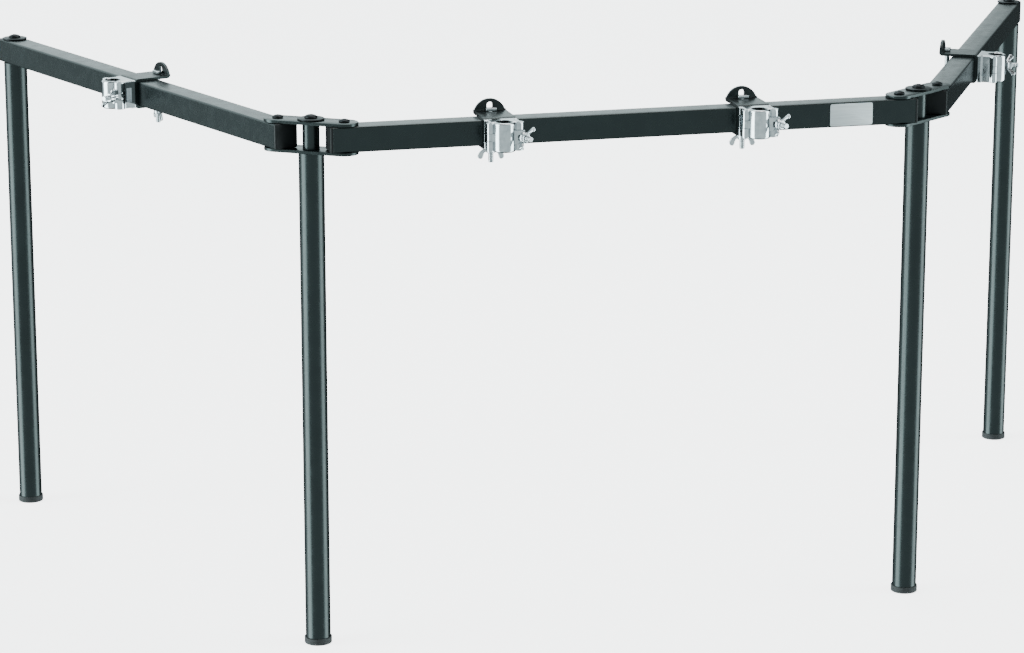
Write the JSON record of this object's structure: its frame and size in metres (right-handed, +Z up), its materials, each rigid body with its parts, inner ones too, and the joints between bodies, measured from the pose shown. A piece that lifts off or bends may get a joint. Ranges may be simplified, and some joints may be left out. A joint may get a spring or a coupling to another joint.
{
  "type": "drum rack frame",
  "caption": "Free-standing drum rack frame: square tube bars joined by double-pivot hinges on round legs, with sliding pipe clamps.",
  "frame": {"origin": "on the floor, under the middle of the footprint", "axes": "+X along the centre bar to the right as the audience sees it, -Y towards the audience, +Z up"},
  "size_m": [1.8116, 0.9871, 0.8272],
  "materials": {
    "frame_paint": "satin gloss black paint",
    "hinge_paint": "satin gloss black paint",
    "bracket_paint": "satin black paint",
    "black_bolt": "black oxide, satin",
    "chrome_jaw": "bright chrome on die casting",
    "chrome_fastener": "bright plated steel",
    "rubber_foot": "matt moulded rubber",
    "end_plug": "moulded black plastic",
    "blank_label": "plain silver, bare"
  },
  "bodies": {
    "centre_bar": {"centre_bar": "frame_paint", "centre_bar_left_plug": "end_plug", "centre_bar_right_plug": "end_plug", "label_plate": "blank_label"},
    "left_hinge": {"left_hinge_bottom_plate": "hinge_paint", "left_hinge_top_plate": "hinge_paint", "left_hinge_spacer": "hinge_paint", "left_hinge_inner_link_bolt": "black_bolt", "left_hinge_outer_link_bolt": "black_bolt", "left_inner_leg": "frame_paint", "left_inner_foot": "rubber_foot", "left_inner_leg_bolt": "black_bolt"},
    "left_arm": {"left_bar": "frame_paint", "left_bar_inner_plug": "end_plug", "left_bar_outer_plug": "end_plug", "left_outer_leg": "frame_paint", "left_outer_foot": "rubber_foot", "left_outer_leg_bolt": "black_bolt"},
    "right_hinge": {"right_hinge_bottom_plate": "hinge_paint", "right_hinge_top_plate": "hinge_paint", "right_hinge_spacer": "hinge_paint", "right_hinge_inner_link_bolt": "black_bolt", "right_hinge_outer_link_bolt": "black_bolt", "right_inner_leg": "frame_paint", "right_inner_foot": "rubber_foot", "right_inner_leg_bolt": "black_bolt"},
    "right_arm": {"right_bar": "frame_paint", "right_bar_inner_plug": "end_plug", "right_bar_outer_plug": "end_plug", "right_outer_leg": "frame_paint", "right_outer_foot": "rubber_foot", "right_outer_leg_bolt": "black_bolt"},
    "centre_left_clamp": {"centre_left_clamp_bracket": "bracket_paint", "centre_left_clamp_rear_jaw": "chrome_jaw", "centre_left_clamp_tee_bolt": "chrome_fastener"},
    "centre_left_clamp_front": {"centre_left_clamp_front_jaw": "chrome_jaw"},
    "centre_left_clamp_bolt": {"centre_left_clamp_eye_bolt": "chrome_fastener"},
    "centre_left_clamp_jaw_nut": {"centre_left_clamp_jaw_wing_nut": "chrome_fastener"},
    "centre_left_clamp_lock_nut": {"centre_left_clamp_lock_wing_nut": "chrome_fastener"},
    "centre_right_clamp": {"centre_right_clamp_bracket": "bracket_paint", "centre_right_clamp_rear_jaw": "chrome_jaw", "centre_right_clamp_tee_bolt": "chrome_fastener"},
    "centre_right_clamp_front": {"centre_right_clamp_front_jaw": "chrome_jaw"},
    "centre_right_clamp_bolt": {"centre_right_clamp_eye_bolt": "chrome_fastener"},
    "centre_right_clamp_jaw_nut": {"centre_right_clamp_jaw_wing_nut": "chrome_fastener"},
    "centre_right_clamp_lock_nut": {"centre_right_clamp_lock_wing_nut": "chrome_fastener"},
    "left_clamp": {"left_clamp_bracket": "bracket_paint", "left_clamp_rear_jaw": "chrome_jaw", "left_clamp_tee_bolt": "chrome_fastener"},
    "left_clamp_front": {"left_clamp_front_jaw": "chrome_jaw"},
    "left_clamp_bolt": {"left_clamp_eye_bolt": "chrome_fastener"},
    "left_clamp_jaw_nut": {"left_clamp_jaw_wing_nut": "chrome_fastener"},
    "left_clamp_lock_nut": {"left_clamp_lock_wing_nut": "chrome_fastener"},
    "right_clamp": {"right_clamp_bracket": "bracket_paint", "right_clamp_rear_jaw": "chrome_jaw", "right_clamp_tee_bolt": "chrome_fastener"},
    "right_clamp_front": {"right_clamp_front_jaw": "chrome_jaw"},
    "right_clamp_bolt": {"right_clamp_eye_bolt": "chrome_fastener"},
    "right_clamp_jaw_nut": {"right_clamp_jaw_wing_nut": "chrome_fastener"},
    "right_clamp_lock_nut": {"right_clamp_lock_wing_nut": "chrome_fastener"}
  },
  "joints": [
    {"name": "left_hinge_turn", "type": "hinge", "parent": "centre_bar", "child": "left_hinge", "pos_m": [-0.50591, -0.40936, 0.81], "axis": [0, 0, 1], "range_deg": [-16.5, 33.4]},
    {"name": "left_arm_turn", "type": "hinge", "parent": "left_hinge", "child": "left_arm", "pos_m": [-0.5935, -0.35145, 0.81], "axis": [0, 0, 1], "range_deg": [-12.8, 37.1]},
    {"name": "right_hinge_turn", "type": "hinge", "parent": "centre_bar", "child": "right_hinge", "pos_m": [0.35929, -0.40936, 0.81], "axis": [0, 0, 1], "range_deg": [-35.1, 14.8]},
    {"name": "right_arm_turn", "type": "hinge", "parent": "right_hinge", "child": "right_arm", "pos_m": [0.44514, -0.34891, 0.81], "axis": [0, 0, 1], "range_deg": [-24.8, 25.1]},
    {"name": "centre_left_clamp_slide", "type": "slide", "parent": "centre_bar", "child": "centre_left_clamp", "axis": [1, 0, 0], "range_m": [-0.129, 0.1405]},
    {"name": "centre_left_clamp_jaw_open", "type": "hinge", "parent": "centre_left_clamp", "child": "centre_left_clamp_front", "pos_m": [-0.29781, -0.45936, 0.78585], "axis": [0, 0, -1], "range_deg": [0, 10.9]},
    {"name": "centre_left_clamp_bolt_swing", "type": "hinge", "parent": "centre_left_clamp", "child": "centre_left_clamp_bolt", "pos_m": [-0.25581, -0.45936, 0.78585], "axis": [0, 0, 1], "range_deg": [-18, 57]},
    {"name": "centre_left_clamp_jaw_nut_travel", "type": "slide", "parent": "centre_left_clamp_bolt", "child": "centre_left_clamp_jaw_nut", "axis": [0.309, -0.9511, 0], "range_m": [0, 0.008]},
    {"name": "centre_left_clamp_lock_nut_spin", "type": "hinge", "parent": "centre_left_clamp", "child": "centre_left_clamp_lock_nut", "pos_m": [-0.27681, -0.38036, 0.7622], "axis": [0, 0, 1], "continuous": true},
    {"name": "centre_right_clamp_slide", "type": "slide", "parent": "centre_bar", "child": "centre_right_clamp", "axis": [1, 0, 0], "range_m": [-0.1435, 0.092]},
    {"name": "centre_right_clamp_jaw_open", "type": "hinge", "parent": "centre_right_clamp", "child": "centre_right_clamp_front", "pos_m": [0.09681, -0.45936, 0.78585], "axis": [0, 0, -1], "range_deg": [0, 10.9]},
    {"name": "centre_right_clamp_bolt_swing", "type": "hinge", "parent": "centre_right_clamp", "child": "centre_right_clamp_bolt", "pos_m": [0.13881, -0.45936, 0.78585], "axis": [0, 0, 1], "range_deg": [-18, 57]},
    {"name": "centre_right_clamp_jaw_nut_travel", "type": "slide", "parent": "centre_right_clamp_bolt", "child": "centre_right_clamp_jaw_nut", "axis": [0.309, -0.9511, 0], "range_m": [0, 0.008]},
    {"name": "centre_right_clamp_lock_nut_spin", "type": "hinge", "parent": "centre_right_clamp", "child": "centre_right_clamp_lock_nut", "pos_m": [0.11781, -0.38036, 0.7622], "axis": [0, 0, 1], "continuous": true},
    {"name": "left_clamp_slide", "type": "slide", "parent": "left_arm", "child": "left_clamp", "axis": [0.3312, -0.9436, 0], "range_m": [-0.2975, 0.302]},
    {"name": "left_clamp_jaw_open", "type": "hinge", "parent": "left_clamp", "child": "left_clamp_front", "pos_m": [-0.78749, 0.05028, 0.78585], "axis": [0, 0, -1], "range_deg": [0, 10.9]},
    {"name": "left_clamp_bolt_swing", "type": "hinge", "parent": "left_clamp", "child": "left_clamp_bolt", "pos_m": [-0.77358, 0.01065, 0.78585], "axis": [0, 0, 1], "range_deg": [-18, 57]},
    {"name": "left_clamp_jaw_nut_travel", "type": "slide", "parent": "left_clamp_bolt", "child": "left_clamp_jaw_nut", "axis": [-0.795, -0.6065, 0], "range_m": [0, 0.008]},
    {"name": "left_clamp_lock_nut_spin", "type": "hinge", "parent": "left_clamp", "child": "left_clamp_lock_nut", "pos_m": [-0.70599, 0.05663, 0.7622], "axis": [0, 0, 1], "continuous": true},
    {"name": "right_clamp_slide", "type": "slide", "parent": "right_arm", "child": "right_clamp", "axis": [0.5002, 0.8659, 0], "range_m": [-0.1885, 0.411]},
    {"name": "right_clamp_jaw_open", "type": "hinge", "parent": "right_clamp", "child": "right_clamp_front", "pos_m": [0.63238, -0.1247, 0.78585], "axis": [0, 0, -1], "range_deg": [0, 10.9]},
    {"name": "right_clamp_bolt_swing", "type": "hinge", "parent": "right_clamp", "child": "right_clamp_bolt", "pos_m": [0.65338, -0.08833, 0.78585], "axis": [0, 0, 1], "range_deg": [-18, 57]},
    {"name": "right_clamp_jaw_nut_travel", "type": "slide", "parent": "right_clamp_bolt", "child": "right_clamp_jaw_nut", "axis": [0.9781, -0.2081, 0], "range_m": [0, 0.008]},
    {"name": "right_clamp_lock_nut_spin", "type": "hinge", "parent": "right_clamp", "child": "right_clamp_lock_nut", "pos_m": [0.57447, -0.06701, 0.7622], "axis": [0, 0, 1], "continuous": true}
  ],
  "couplings": [
    {"joint": "centre_left_clamp_jaw_nut_travel", "follows": "centre_left_clamp_jaw_open", "m_per_rad": 0.042},
    {"joint": "centre_right_clamp_jaw_nut_travel", "follows": "centre_right_clamp_jaw_open", "m_per_rad": 0.042},
    {"joint": "left_clamp_jaw_nut_travel", "follows": "left_clamp_jaw_open", "m_per_rad": 0.042},
    {"joint": "right_clamp_jaw_nut_travel", "follows": "right_clamp_jaw_open", "m_per_rad": 0.042}
  ]
}
